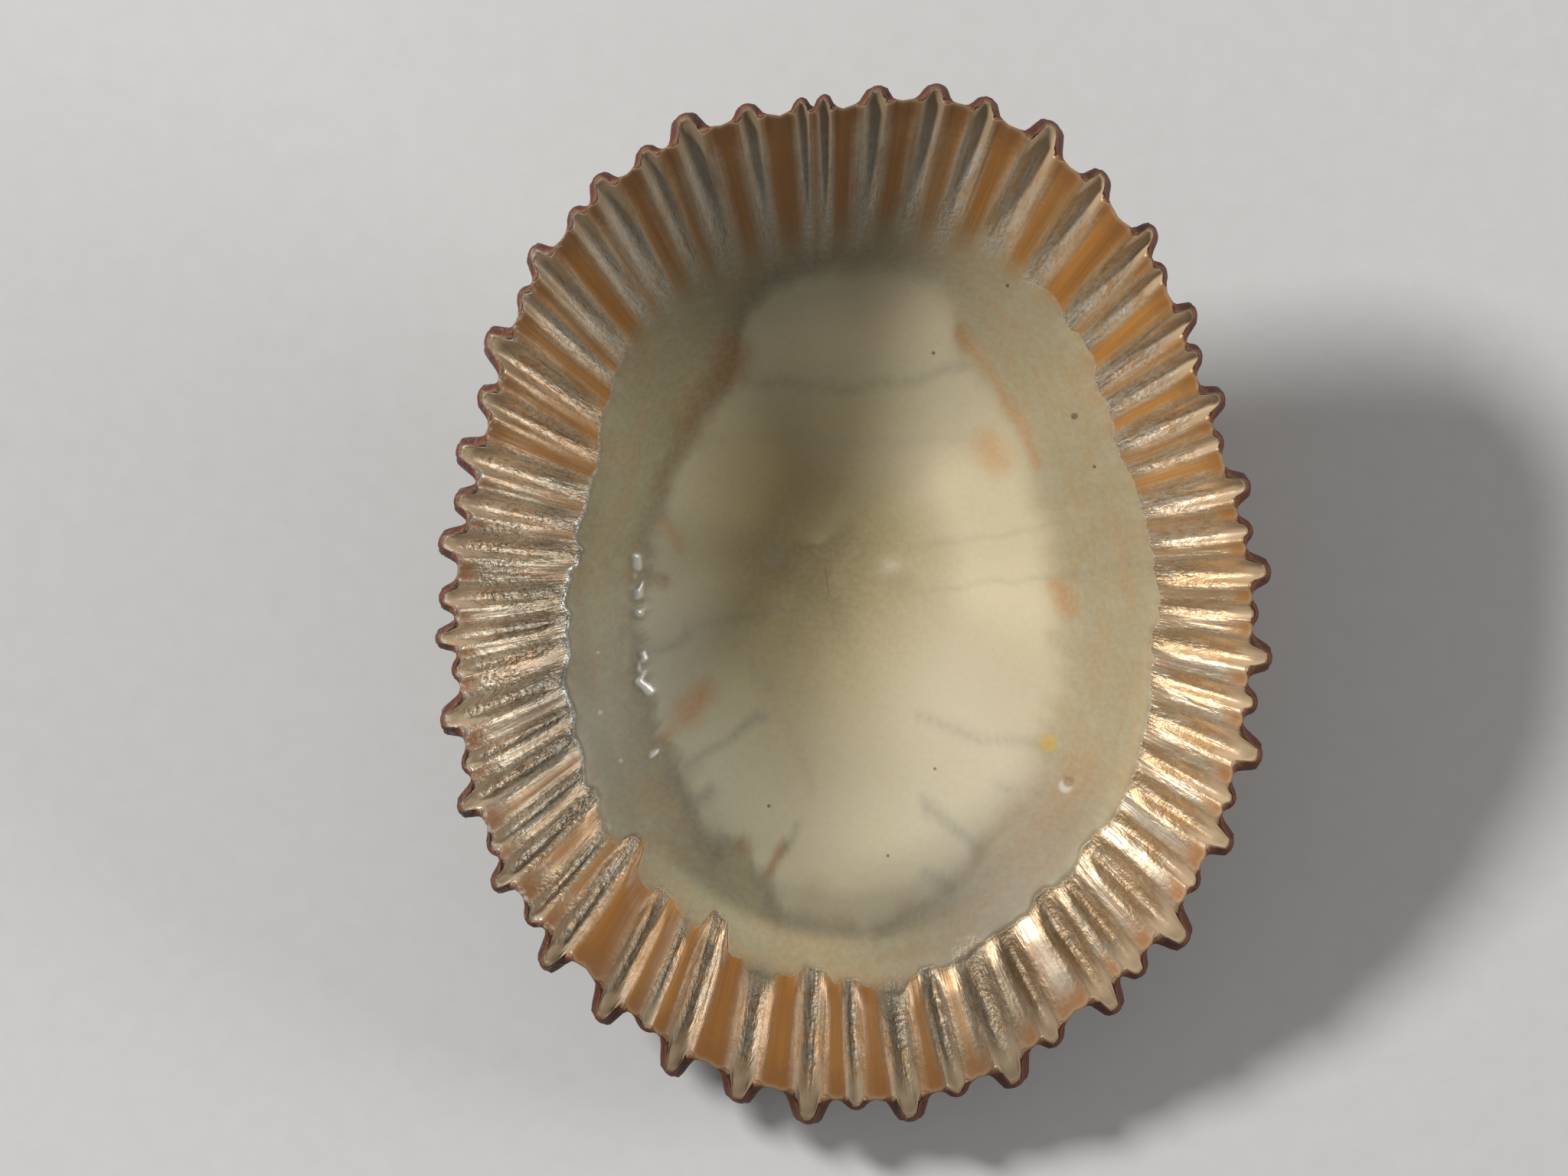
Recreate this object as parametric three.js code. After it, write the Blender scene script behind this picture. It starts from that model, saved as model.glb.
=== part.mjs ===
// A ribbed limpet shell as one solid, lying hollow side up and tipped so that its head end is raised.
// Millimetres, +Z up. The origin is on the worn flat at the apex, which the shell rests on.
// +Y points to the head end. Bearings are in degrees about the origin, anticlockwise from +X from above.
import * as THREE from "three";

const { smoothstep, lerp, euclideanModulo, degToRad, radToDeg } = THREE.MathUtils;

// Driving dimensions
const RIM_HEIGHT = 12; // the margin's upper edge above the floor, at the origin's level along Y
const RIM_TILT = 0.35; // how much higher the margin stands for each millimetre towards the head end
const WALL_AT_MARGIN = 0.65; // square to the wall
const WALL_AT_CALLUS = 1.4; // the thickened lining inside the fluted band
const WALL_AT_APEX = 2.2;
const CALLUS_STEP = 0.12; // how far the lining's edge stands proud of the fluted band
const CALLUS_SHARE = 0.765; // where the lining ends, as a share of the way to the margin
const CALLUS_EDGE = 0.02; // half the width of the step there, in the same shares
const APEX_ROUNDING = 0.4; // share of the way to the margin in which the apex rounds off
const APEX_SHIFT = [-0.4, 1.8]; // where the apex lies off the middle of the ribs
const APEX_WEAR = 0.3; // height worn off the apex

// Origin to the margin between ribs, at even steps of bearing from 0
const MARGIN_RADII = [
  18.2, 17.8, 18.2, 19.7, 20.8, 21.5, 20.6, 20.4, 19.6, 18.3, 16.7, 15.9,
  16.2, 16.6, 17.8, 19.0, 20.0, 21.4, 22.3, 22.4, 21.4, 20.7, 19.6, 18.6,
];

// Each rib's bearing, and how far its tooth reaches past the margin
const RIBS = [
  [2.0, 0.8], [7.7, 0.35], [13.7, 0.75], [20.5, 0.15], [25.8, 0.8], [32.2, 0.45],
  [37.0, 0.8], [43.5, 0.25], [47.8, 0.8], [56.4, 0.7], [64.2, 1.0], [72.0, 0.55],
  [78.0, 0.6], [84.7, 0.6], [90.8, 0.5], [93.5, 0.45], [100.0, 0.5], [107.5, 0.9],
  [113.2, 0.45], [119.8, 0.65], [124.6, 0.35], [131.8, 0.75], [136.8, 0.25], [144.3, 1.0],
  [151.5, 0.65], [160.0, 1.05], [167.0, 0.7], [173.5, 0.95], [181.8, 0.6], [187.7, 0.8],
  [192.7, 0.2], [199.3, 0.9], [206.0, 0.2], [211.0, 0.85], [217.5, 0.2], [221.8, 0.8],
  [228.0, 0.35], [233.0, 1.15], [241.9, 1.15], [247.0, 0.15], [251.7, 1.15], [259.7, 0.95],
  [267.5, 1.1], [272.8, 0.3], [278.6, 0.95], [284.2, 0.35], [290.6, 1.0], [296.3, 0.5],
  [304.0, 1.0], [308.8, 0.55], [315.0, 1.1], [320.8, 0.2], [327.0, 0.85], [332.0, 0.3],
  [338.3, 1.0], [344.5, 0.45], [350.6, 0.85], [356.3, 0.15],
];
const RIB_WIDTH = [0.4, 0.56]; // half a rib's width at the margin: a base, and more for each unit of reach
const RIB_CREST = 0.6; // share of a rib's half width that its blunt crest takes
const RIB_ROOM = 0.47; // most of the gap to its neighbour that half a rib may take
const RIB_DROP = 0.8; // how far a rib hangs below the outside, for each unit of reach
const TONGUE_WIDTH = 0.7; // a tooth's upper face is narrower than the rib below it
const LIP = 0.15; // the upper edge stands back this far from the lower one
const GROOVE_DEPTH = 0.35; // flute inside a rib, for each unit of reach
const GROOVE_FULL_SHARE = 0.9; // where the flute reaches its depth, as a share of the way to the margin

// Rows of points over the outside, as shares of the way from the worn flat to the margin, and down the
// inside, as shares of the way from the apex. Corners are the points that a row keeps where the ribs
// have faded.
const OUTER_ROWS = [
  { share: 0, corners: 24 },
  { share: 0.14, corners: 58 },
  { share: 0.3 },
  { share: 0.5 },
  { share: 0.7 },
  { share: 0.86 },
  { share: 1 },
];
const INNER_ROWS = [
  { share: 1 },
  { share: 0.94 },
  { share: 0.86 },
  { share: CALLUS_SHARE + CALLUS_EDGE },
  { share: CALLUS_SHARE - CALLUS_EDGE },
  { share: 0.6, corners: 116 },
  { share: 0.44, corners: 58 },
  { share: 0.28, corners: 58 },
  { share: 0.12, corners: 24 },
];
const SIDES_OF_A_RIB = [-1, -0.7, 0, 0.7, 1]; // feet, shoulders and crest, as shares of half its width

function bearingBetween(a, b) {
  return euclideanModulo(a - b + 180, 360) - 180;
}

// Closed Catmull-Rom curve through MARGIN_RADII.
function marginRadius(bearing) {
  const count = MARGIN_RADII.length;
  const step = (euclideanModulo(bearing, 360) / 360) * count;
  const k = Math.floor(step);
  const t = step - k;
  const [a, b, c, d] = [-1, 0, 1, 2].map((n) => MARGIN_RADII[(k + n + count) % count]);
  return b + 0.5 * t * (c - a + t * (2 * a - 5 * b + 4 * c - d + t * (3 * (b - c) + d - a)));
}

function marginHeight(bearing) {
  return RIM_HEIGHT + RIM_TILT * marginRadius(bearing) * Math.sin(degToRad(bearing));
}

// Half a rib's width in degrees, held clear of its nearest neighbour.
function ribHalfWidth([bearing, reach], index) {
  const [base, perReach] = RIB_WIDTH;
  const wide = radToDeg((base + perReach * reach) / marginRadius(bearing));
  const gaps = [1, RIBS.length - 1].map((n) => {
    const [neighbour] = RIBS[(index + n) % RIBS.length];
    return Math.abs(bearingBetween(bearing, neighbour));
  });
  return Math.min(wide, RIB_ROOM * Math.min(...gaps));
}

const ribs = RIBS.map((rib, index) => ({
  bearing: rib[0],
  reach: rib[1],
  halfWidth: ribHalfWidth(rib, index),
}));

// How far the ribs stand out at a bearing, in units of reach, with their widths scaled by widthShare.
function ribSwell(bearing, widthShare = 1) {
  return Math.max(
    ...ribs.map((rib) => {
      const off = Math.abs(bearingBetween(bearing, rib.bearing)) / (rib.halfWidth * widthShare);
      return rib.reach * (1 - smoothstep(off, RIB_CREST, 1));
    }),
  );
}

// A cone with a rounded apex: 0 at the apex and 1 at the margin.
const ROUND_SPAN = Math.hypot(1, APEX_ROUNDING) - APEX_ROUNDING;
function climb(share) {
  return (Math.hypot(share, APEX_ROUNDING) - APEX_ROUNDING) / ROUND_SPAN;
}
function shareOfClimb(rise) {
  return Math.sqrt((APEX_ROUNDING + rise * ROUND_SPAN) ** 2 - APEX_ROUNDING ** 2);
}

// A thickness square to the wall, measured upwards instead.
function upright(thickness, bearing) {
  return thickness * Math.hypot(1, marginHeight(bearing) / marginRadius(bearing));
}

// Height of the cone's side at the margin, above the unworn apex.
function sideHeight(bearing) {
  return marginHeight(bearing) - upright(WALL_AT_MARGIN, bearing) + APEX_WEAR;
}

function outsideHeight(bearing, share) {
  return sideHeight(bearing) * climb(share) - APEX_WEAR;
}

function place(bearing, share, outwards, height) {
  const turn = degToRad(bearing);
  const radius = share * marginRadius(bearing) + outwards;
  const shift = (1 - share) ** 2;
  return new THREE.Vector3(
    radius * Math.cos(turn) + APEX_SHIFT[0] * shift,
    radius * Math.sin(turn) + APEX_SHIFT[1] * shift,
    height,
  );
}

function outerPoint(bearing, shareFromFlat) {
  const share = lerp(shareOfClimb(APEX_WEAR / sideHeight(bearing)), 1, shareFromFlat);
  const swell = ribSwell(bearing) * share * smoothstep(shareFromFlat, 0, 1);
  return place(bearing, share, swell, Math.max(0, outsideHeight(bearing, share) - RIB_DROP * swell));
}

function wall(share) {
  if (share > CALLUS_SHARE) {
    const out = (share - CALLUS_SHARE) / (1 - CALLUS_SHARE);
    return lerp(WALL_AT_CALLUS - CALLUS_STEP, WALL_AT_MARGIN, out);
  }
  return lerp(WALL_AT_APEX, WALL_AT_CALLUS, share / CALLUS_SHARE);
}

function innerPoint(bearing, share) {
  const tongue = ribSwell(bearing, TONGUE_WIDTH);
  const outwards = (tongue - LIP) * smoothstep(share, CALLUS_SHARE, 1);
  const thickness = lerp(wall(share), upright(wall(share), bearing), climb(share));
  const groove = GROOVE_DEPTH * tongue * smoothstep(share, CALLUS_SHARE, GROOVE_FULL_SHARE);
  return place(bearing, share, outwards, outsideHeight(bearing, share) + thickness - groove);
}

// Bearings of the columns of points.
const columns = ribs.flatMap(({ bearing, halfWidth }) =>
  SIDES_OF_A_RIB.map((side) => bearing + side * halfWidth),
);

// A lathe gives the closed skin, and each of its points then takes its own place on the shell.
function shellGeometry() {
  const rows = [
    { point: () => new THREE.Vector3() },
    ...OUTER_ROWS.map((row) => ({ ...row, point: outerPoint })),
    ...INNER_ROWS.map((row) => ({ ...row, point: innerPoint })),
    { share: 0, corners: 1, point: innerPoint },
  ];
  const profile = rows.map((row, level) => new THREE.Vector2(level % (rows.length - 1) ? 1 : 0, level));
  const geometry = new THREE.LatheGeometry(profile, columns.length);
  const position = geometry.getAttribute("position");
  for (let i = 0; i < position.count; i++) {
    const row = rows[i % rows.length];
    const column = columns[Math.floor(i / rows.length) % columns.length];
    const step = 360 / row.corners;
    const bearing = row.corners ? Math.round(column / step) * step : column;
    const { x, y, z } = row.point(bearing, row.share);
    position.setXYZ(i, x, y, z);
  }
  geometry.deleteAttribute("uv");
  geometry.computeVertexNormals();
  return geometry;
}

const shell = new THREE.Mesh(
  shellGeometry(),
  new THREE.MeshStandardMaterial({ color: 0xb09a72, roughness: 0.4, metalness: 0 }),
);
shell.name = "shell";

const limpet = new THREE.Group();
limpet.add(shell);

export default limpet;
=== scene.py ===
import math

import bmesh
import bpy
import numpy as np
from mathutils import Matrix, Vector, noise


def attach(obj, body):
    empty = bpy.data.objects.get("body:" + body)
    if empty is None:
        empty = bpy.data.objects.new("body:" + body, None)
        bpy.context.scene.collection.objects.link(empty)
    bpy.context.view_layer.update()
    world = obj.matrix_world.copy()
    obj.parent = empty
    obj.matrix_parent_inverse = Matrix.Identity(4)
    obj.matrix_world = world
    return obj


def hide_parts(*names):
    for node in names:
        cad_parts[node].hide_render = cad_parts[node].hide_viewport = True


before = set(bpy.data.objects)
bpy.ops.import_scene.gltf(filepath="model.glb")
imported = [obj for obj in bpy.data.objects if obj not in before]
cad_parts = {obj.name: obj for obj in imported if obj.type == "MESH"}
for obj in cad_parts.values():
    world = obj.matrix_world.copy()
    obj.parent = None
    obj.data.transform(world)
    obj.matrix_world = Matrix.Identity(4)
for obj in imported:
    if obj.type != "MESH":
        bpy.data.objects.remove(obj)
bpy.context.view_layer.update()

# Sizes are in millimetres, and bearings in degrees, anticlockwise from +X seen from above, as in the solid.
# A share is a part of the way from the apex to the margin.
MM = 0.001
RIM_HEIGHT = 12.0
RIM_TILT = 0.35
WALL_AT_MARGIN = 0.65
WALL_AT_CALLUS = 1.28
WALL_AT_APEX = 2.2
APEX_ROUNDING = 0.4
APEX_SHIFT = (-0.4, 1.8)
APEX_WEAR = 0.3

# Origin to the margin between ribs, every 15 degrees
MARGIN_RADII = [
    18.2, 17.8, 18.2, 19.7, 20.8, 21.5, 20.6, 20.4, 19.6, 18.3, 16.7, 15.9,
    16.2, 16.6, 17.8, 19.0, 20.0, 21.4, 22.3, 22.4, 21.4, 20.7, 19.6, 18.6,
]
# Where the callus ends, as a share, every 30 degrees
CALLUS_SHARES = [0.778, 0.772, 0.775, 0.745, 0.74, 0.70, 0.71, 0.725, 0.765, 0.775, 0.775, 0.78]
# Each rib's bearing, and how far its tooth reaches past the margin
RIBS = [
    (2.0, 0.8), (7.7, 0.35), (13.7, 0.75), (20.5, 0.15), (25.8, 0.8), (32.2, 0.45),
    (37.0, 0.8), (43.5, 0.25), (47.8, 0.8), (56.4, 0.7), (64.2, 1.0), (72.0, 0.55),
    (78.0, 0.6), (84.7, 0.6), (90.8, 0.5), (93.5, 0.45), (100.0, 0.5), (107.5, 0.9),
    (113.2, 0.45), (119.8, 0.65), (124.6, 0.35), (131.8, 0.75), (136.8, 0.25), (144.3, 1.0),
    (151.5, 0.65), (160.0, 1.05), (167.0, 0.7), (173.5, 0.95), (181.8, 0.6), (187.7, 0.8),
    (192.7, 0.2), (199.3, 0.9), (206.0, 0.2), (211.0, 0.85), (217.5, 0.2), (221.8, 0.8),
    (228.0, 0.35), (233.0, 1.15), (241.9, 1.15), (247.0, 0.15), (251.7, 1.15), (259.7, 0.95),
    (267.5, 1.1), (272.8, 0.3), (278.6, 0.95), (284.2, 0.35), (290.6, 1.0), (296.3, 0.5),
    (304.0, 1.0), (308.8, 0.55), (315.0, 1.1), (320.8, 0.2), (327.0, 0.85), (332.0, 0.3),
    (338.3, 1.0), (344.5, 0.45), (350.6, 0.85), (356.3, 0.15),
]
# The edge of the cream scar where the animal's muscle held: bearing, and distance from the origin
SCAR_EDGE = [
    (3.4, 9.9), (12.1, 10.3), (21.6, 10.1), (33.2, 10.8), (42.9, 11.0), (52.0, 11.5), (60.3, 11.9),
    (62.6, 12.3), (65.6, 13.4), (69.0, 13.9), (76.4, 14.2), (88.5, 14.0), (96.7, 13.7), (102.1, 13.3),
    (107.7, 12.4), (110.3, 11.8), (113.6, 10.6), (117.0, 10.0), (124.1, 9.5), (136.9, 8.9), (154.7, 8.3),
    (171.7, 8.2), (185.4, 8.4), (199.2, 9.0), (211.0, 9.5), (220.2, 10.1), (228.1, 10.0), (233.8, 10.9),
    (237.6, 11.4), (244.6, 12.4), (251.8, 12.0), (258.1, 13.5), (262.2, 14.7), (268.4, 14.6), (274.4, 15.3),
    (282.9, 14.9), (289.1, 14.4), (295.8, 14.0), (301.5, 13.1), (308.7, 12.9), (315.6, 12.9), (321.1, 12.2),
    (326.0, 11.6), (336.7, 11.4), (344.2, 10.8), (354.6, 10.5),
]
# Raised beads along the scar's edge: the points that each runs through, seen from above
BEADS = [
    [(-8.38, 1.18), (-8.28, -1.18)],
    [(-8.1, -3.05), (-8.28, -4.13), (-7.8, -4.62)],
    [(-7.6, -7.3), (-7.6, -7.5)],
]
BEAD_HEIGHT = 0.14
BEAD_WIDTH = 0.2
# Polished places near the apex: half width and place
POLISHED = [(0.65, (2.8, 0.5)), (0.6, (-2.4, 1.2))]
POLISH_HEIGHT = 0.11

# Ribs and teeth
RIB_WIDTH = (0.4, 0.56)  # half a rib's width at the margin: a base, and more for each unit of reach
RIB_ROOM = 0.47  # most of the gap to its neighbour that half a rib may take
RIB_CREST = 0.5  # where a rib's blunt crest ends and its foot lies, in half widths off its middle
RIB_FOOT = 1.12
RIB_CROWN = 0.25  # how much a crest falls off towards its sides
RIB_DROP = 0.8  # how far a rib hangs below the outside, for each unit of reach
TONGUE_WIDTH = 0.56  # a tooth's upper face is narrower than the rib below it
TONGUE_CREST = 0.4
TIP_DROOP = 0.35  # how far a tooth's tip hangs, for each unit of reach
LIP = 0.18  # the upper edge stands back this far from the lower one
LIP_BULGE = 0.14
SCALLOP = 0.2  # how far the margin draws back between ribs
# Relief of the band: flutes inside the ribs, the larger ones with a keel, and ridges between them
GROOVE_DEPTH = (0.06, 0.16)  # a base, and more for each unit of reach
KEEL = 0.5
KEEL_WIDTH = 0.3
RIDGE = 0.16
WIDEST_RIDGE = 2.2
HEAD_LIFT = 0.4
# Relief of the lining
CALLUS_STEP = 0.08
BLUR = 0.85  # how much of the callus's edge is lost where it is blurred
CALLUS_ROLL = 0.09
SCAR_STEP = 0.04
UNEVENNESS = 0.05
# Relief of the outside: knobs on the ribs, and a ledge at each halt in growth
KNOBS = 0.25
LEDGES = 7
LEDGE_OUT = 0.1
LEDGE_DROP = 0.12

# Stretches of the shell that differ from the rest: the middle and the reach of each
HEAD_END = (100, 50)
HEAD_SIDE = (105, 75)
BLURRED_EDGE = (92, 45)
ARCHED_EDGE = (258, 45)
OVERFLOWING_EDGE = (262, 50)
ROLLED_EDGE = (190, 40)
CRUMPLED_PEARL = (195, 50)
NARROWED_PEARL = (155, 25)
SILVERY_RIGHT = (325, 48)
SILVERY_LEFT = (190, 45)
DARK_RIBS = (262, 36)
# How strongly the pearl spreads past the flutes, or draws back if below 0, and the stretches where it does
PEARL_SPREADS = [(1.0, 328, 60), (0.35, 198, 45), (-0.45, 258, 38)]
# Painted shade and light: where the shell is painted darker than its colours, as the shade that falls
# there, or paler if
# below 0, as light: how much, the middle and reach of it in degrees, and the same in shares
PAINTED_SHADE_AND_LIGHT = [
    (0.42, 102, 50, 0.95, 0.45),
    (0.25, 97, 30, 0.75, 0.3),
    (0.30, 260, 72, 0.95, 0.45),
    (0.10, 265, 40, 0.90, 0.25),
    (0.22, 186, 50, 0.72, 0.10),
    (0.14, 160, 35, 0.90, 0.20),
    (0.20, 296, 32, 0.65, 0.13),
    (-0.25, 325, 38, 0.90, 0.18),
    (0.30, 236, 50, 0.42, 0.32),
    (0.12, 265, 40, 0.25, 0.25),
    (-0.17, 12, 42, 0.42, 0.16),
    (-0.20, 137, 30, 0.33, 0.2),
    (-0.40, 262, 32, 0.735, 0.06),
    (0.22, 270, 40, 0.65, 0.06),
    (0.14, 233, 25, 0.64, 0.12),
    (0.18, 300, 16, 0.82, 0.1),
    (0.25, 199, 26, 0.79, 0.1),
    (-0.13, 8, 22, 0.88, 0.14),
]

# Rows of the skin in each zone, from the middle of the worn flat, over the lip and down to the apex inside
ROWS = {"flat": 2, "side": 34, "lip": 5, "band": 22, "callus": 14, "hollow": 38}
# Columns of the skin, and the sectors that they are first spun in
COLUMNS = 840
SECTORS = 60
MERGE = 1e-5
# Radius of the cone that the skin's patterns are drawn on
PATTERN_RADIUS = 20

# Colours are linear red, green and blue
CREAM = (0.69, 0.58, 0.37)
# The cool copies of cream and callus, used towards -X, are darker as painted shade and bluer as painted
# bounce light.
CREAM_COOL_SHADED = (0.58, 0.525, 0.345)
CREAM_OLIVE = (0.62, 0.50, 0.235)
# Painted shade about the apex, in a more olive colour.
APEX_SHADE = (0.34, 0.265, 0.12)
CALLUS = (0.47, 0.39, 0.225)
# Darker and bluer, as painted shade and bounce light towards -X.
CALLUS_COOL_SHADED = (0.41, 0.37, 0.215)
# Painted shade along the scar's edge.
PAINTED_EDGE_SHADE = (0.24, 0.20, 0.12)
# White of each bead, and painted glints on the callus's edge and the margin.
ENAMEL_AND_GLINT = (0.95, 0.93, 0.86)
# Pale grains and specks, and painted glints on the callus's edge and on three specks.
PEARL_AND_GLINT_WHITE = (0.85, 0.78, 0.64)
SILVER = (0.82, 0.72, 0.56)
ROSE = (0.87, 0.64, 0.45)
HONEY = (0.66, 0.37, 0.13)
BRONZE = (0.44, 0.26, 0.10)
GUNMETAL = (0.15, 0.115, 0.07)
AMBER = (0.56, 0.245, 0.05)
AMBER_DARK = (0.44, 0.175, 0.03)
BROWN_EDGE = (0.40, 0.165, 0.04)
TONGUE = (0.56, 0.40, 0.24)
RIM_BROWN = (0.24, 0.065, 0.013)
CHESTNUT = (0.095, 0.02, 0.007)
RUSSET = (0.17, 0.07, 0.03)
STRAW = (0.36, 0.27, 0.14)
OLIVE = (0.12, 0.085, 0.045)
UMBER = (0.075, 0.045, 0.025)
WORN = (0.50, 0.45, 0.36)
CHALK = (0.62, 0.58, 0.50)
RUST = (0.36, 0.18, 0.055)
ORANGE = (0.56, 0.27, 0.085)
SLATE = (0.25, 0.235, 0.185)
GOLD = (0.66, 0.42, 0.06)
PAPER = ((0.70, 0.69, 0.67), (0.76, 0.755, 0.74))

# Marks on the lining: strength, width, softness of the edge, and the points that each runs through
RUST_STAINS_AND_SHADE = [
    (0.95, 1.0, 0.9, [(-4.15, 10.3), (-4.05, 9.6), (-4.6, 9.2)]),
    (0.6, 1.0, 0.9, [(-4.6, 9.2), (-5.53, 8.06), (-6.2, 6.9)]),
    (0.5, 0.4, 0.5, [(-6.2, 6.9), (-6.71, 6.10), (-7.39, 4.13)]),
    (0.6, 0.4, 0.4, [(5.68, 11.01), (5.9, 10.6)]),
    (0.8, 0.45, 0.35, [(-7.39, 0.16)]),
    (0.85, 0.45, 0.3, [(-2.1, -11.4), (-2.65, -12.5)]),
    (0.6, 0.6, 0.45, [(-3.87, -11.4)]),
    # Painted shade below the scar's edge at the tail end, tinted like rust.
    (0.3, 0.9, 0.8, [(-0.75, -13.2)]),
]
ORANGE_STAINS = [
    (0.75, 0.3, 0.38, [(5.7, 11.0), (7.14, 8.88), (8.44, 6.6), (9.0, 5.1)]),
    (0.6, 1.2, 0.8, [(6.7, 6.1), (7.2, 5.6)]),
    (0.65, 0.6, 0.45, [(9.81, 0.10), (10.3, -0.88)]),
    (0.45, 0.35, 0.35, [(9.52, -2.06)]),
    (0.5, 0.45, 0.35, [(-7.2, 2.85), (-6.6, 1.77)]),
    (0.7, 1.1, 0.6, [(-5.6, -4.6), (-6.3, -5.5)]),
    (0.35, 1.8, 1.4, [(8.5, -11.5), (10.8, -8.0)]),
    (0.5, 0.6, 0.5, [(-6.3, -5.5), (-7.1, -6.4)]),
]
SLATE_LINES = [
    (0.65, 0.5, 0.45, [(-5.3, -9.1), (-5.9, -9.5)]),
    (0.55, 0.16, 0.45, [(-3.76, 8.85), (-1.59, 8.69), (1.16, 8.55), (3.52, 8.95), (5.88, 9.6)]),
    (0.16, 0.2, 0.5, [(-6.5, 6.1), (-3.56, 6.4), (0.37, 6.3), (2.34, 6.1), (5.7, 6.5)]),
    (0.25, 0.1, 0.28, [(3.3, 1.67), (7.26, 2.16), (9.8, 2.75)]),
    (0.3, 0.1, 0.25, [(3.7, -0.3), (6.27, 0.1), (9.2, 0.4), (13.5, 0.98)]),
    (0.55, 0.3, 0.35, [(-8.3, -2.95), (-6.7, -2.56), (-6.1, -1.97)]),
    (0.3, 0.15, 0.35, [(-6.1, -1.97), (-4.9, -1.57), (-2.0, -1.0)]),
    (0.6, 0.25, 0.32, [(-6.05, -7.84), (-4.55, -6.62), (-2.92, -5.67)]),
    (0.55, 0.6, 0.6, [(-6.0, -7.8), (-6.7, -8.4)]),
    (0.24, 0.12, 0.34, [(-3.33, -3.35), (-1.97, -6.08), (-0.88, -8.8)]),
    (0.5, 0.2, 0.45, [(4.02, -5.67), (5.78, -6.48), (7.4, -6.75), (9.3, -6.94)]),
    (0.55, 0.35, 0.4, [(4.15, -9.47), (5.24, -10.42), (6.46, -11.38)]),
    (0.3, 0.2, 0.35, [(7.1, -8.6), (8.0, -8.9), (9.1, -9.2)]),
    (0.5, 0.22, 0.32, [(-1.29, -10.42), (-2.1, -11.5)]),
    (0.5, 0.4, 0.5, [(4.15, -12.6), (5.2, -13.1)]),
]
STAINS = {RUST: RUST_STAINS_AND_SHADE, ORANGE: ORANGE_STAINS, SLATE: SLATE_LINES}
# Specks: colour, width and place. The last three are painted glints on the callus towards -X.
SPECKS = [
    (GOLD, 0.8, (9.46, -6.82)),
    (PEARL_AND_GLINT_WHITE, 0.6, (10.2, -8.7)),
    (RUST, 0.5, (10.34, -8.5)),
    (UMBER, 0.16, (-2.68, -9.58)),
    (UMBER, 0.14, (4.54, -7.96)),
    (UMBER, 0.14, (2.5, -11.74)),
    (UMBER, 0.16, (4.46, 10.09)),
    (UMBER, 0.16, (7.65, 12.98)),
    (UMBER, 0.3, (10.56, 7.34)),
    (UMBER, 0.14, (11.43, 5.15)),
    (PEARL_AND_GLINT_WHITE, 0.22, (-10.0, -5.5)),
    (PEARL_AND_GLINT_WHITE, 0.14, (-10.1, -2.9)),
    (PEARL_AND_GLINT_WHITE, 0.18, (-9.1, -7.6)),
]

# The camera hangs straight above. The frame's width is at the rim's height, in metres like the rest here
CAMERA_PLACE = (-0.00202, -0.0001, 2.0)
FRAME_WIDTH = 0.06786
SENSOR_WIDTH = 36
WORLD_STRENGTH = 0.16
LIGHTS_AIM = (0, 0, 0.01)
FLOOR_HALF_WIDTH = 2


def smoothstep(low, high, value):
    t = np.clip((value - low) / (high - low), 0, 1)
    return t * t * (3 - 2 * t)


def lerp(start, end, share):
    return start + (end - start) * share


def turn_between(a, b):
    return (a - b + 180) % 360 - 180


def near(bearing, middle, reach):
    """1 at a bearing, fading to 0 a reach away from it."""
    return 1 - smoothstep(0.4 * reach, reach, np.abs(turn_between(bearing, middle)))


def around(values, bearing):
    """A smooth closed curve through values that stand at even steps of bearing."""
    values = np.asarray(values)
    count = len(values)
    step = (bearing % 360) / 360 * count
    k = np.floor(step).astype(int)
    t = step - k
    a, b, c, d = (values[(k + n) % count] for n in (-1, 0, 1, 2))
    return b + 0.5 * t * (c - a + t * (2 * a - 5 * b + 4 * c - d + t * (3 * (b - c) + d - a)))


def wander(points, scale, seed):
    """Smooth unevenness between about -1 and 1 at each point, for features of that size."""
    shift = Vector((seed * 7.3, seed * 3.1, seed * 5.7))
    return np.array([noise.noise(Vector(p) / scale + shift) for p in points])


def ring(bearing, radius):
    """Points on a circle, to draw unevenness along a bearing without a seam."""
    turn = np.radians(bearing)
    return np.stack([radius * np.cos(turn), radius * np.sin(turn), np.zeros_like(turn)], 1)


def from_path(x, y, points):
    """How far each place is from a path through some points, seen from above."""
    plan = np.stack([x, y], 1)
    nearest = np.full(len(x), np.inf)
    for start, end in zip(points, points[1:] or points):
        start = np.array(start)
        run = np.array(end) - start
        along = np.clip((plan - start) @ run / max(run @ run, 1e-9), 0, 1)
        nearest = np.minimum(nearest, np.linalg.norm(plan - start - along[:, None] * run, axis=1))
    return nearest


def margin_radius(bearing):
    return around(MARGIN_RADII, bearing)


def margin_height(bearing):
    return RIM_HEIGHT + RIM_TILT * margin_radius(bearing) * np.sin(np.radians(bearing))


def rib_half_widths():
    bearings, reaches = np.array(RIBS).T
    wide = np.degrees((RIB_WIDTH[0] + RIB_WIDTH[1] * reaches) / margin_radius(bearings))
    gaps = [np.abs(turn_between(bearings, np.roll(bearings, n))) for n in (-1, 1)]
    return np.minimum(wide, RIB_ROOM * np.minimum(*gaps))


def nearest_rib(bearing):
    """The nearest rib's number, its reach, and how far off its middle each bearing is, in half widths."""
    bearings, reaches = np.array(RIBS).T
    off = turn_between(bearing[:, None], bearings[None, :]) / rib_half_widths()
    number = np.abs(off).argmin(1)
    return number, reaches[number], off[np.arange(len(bearing)), number]


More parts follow.
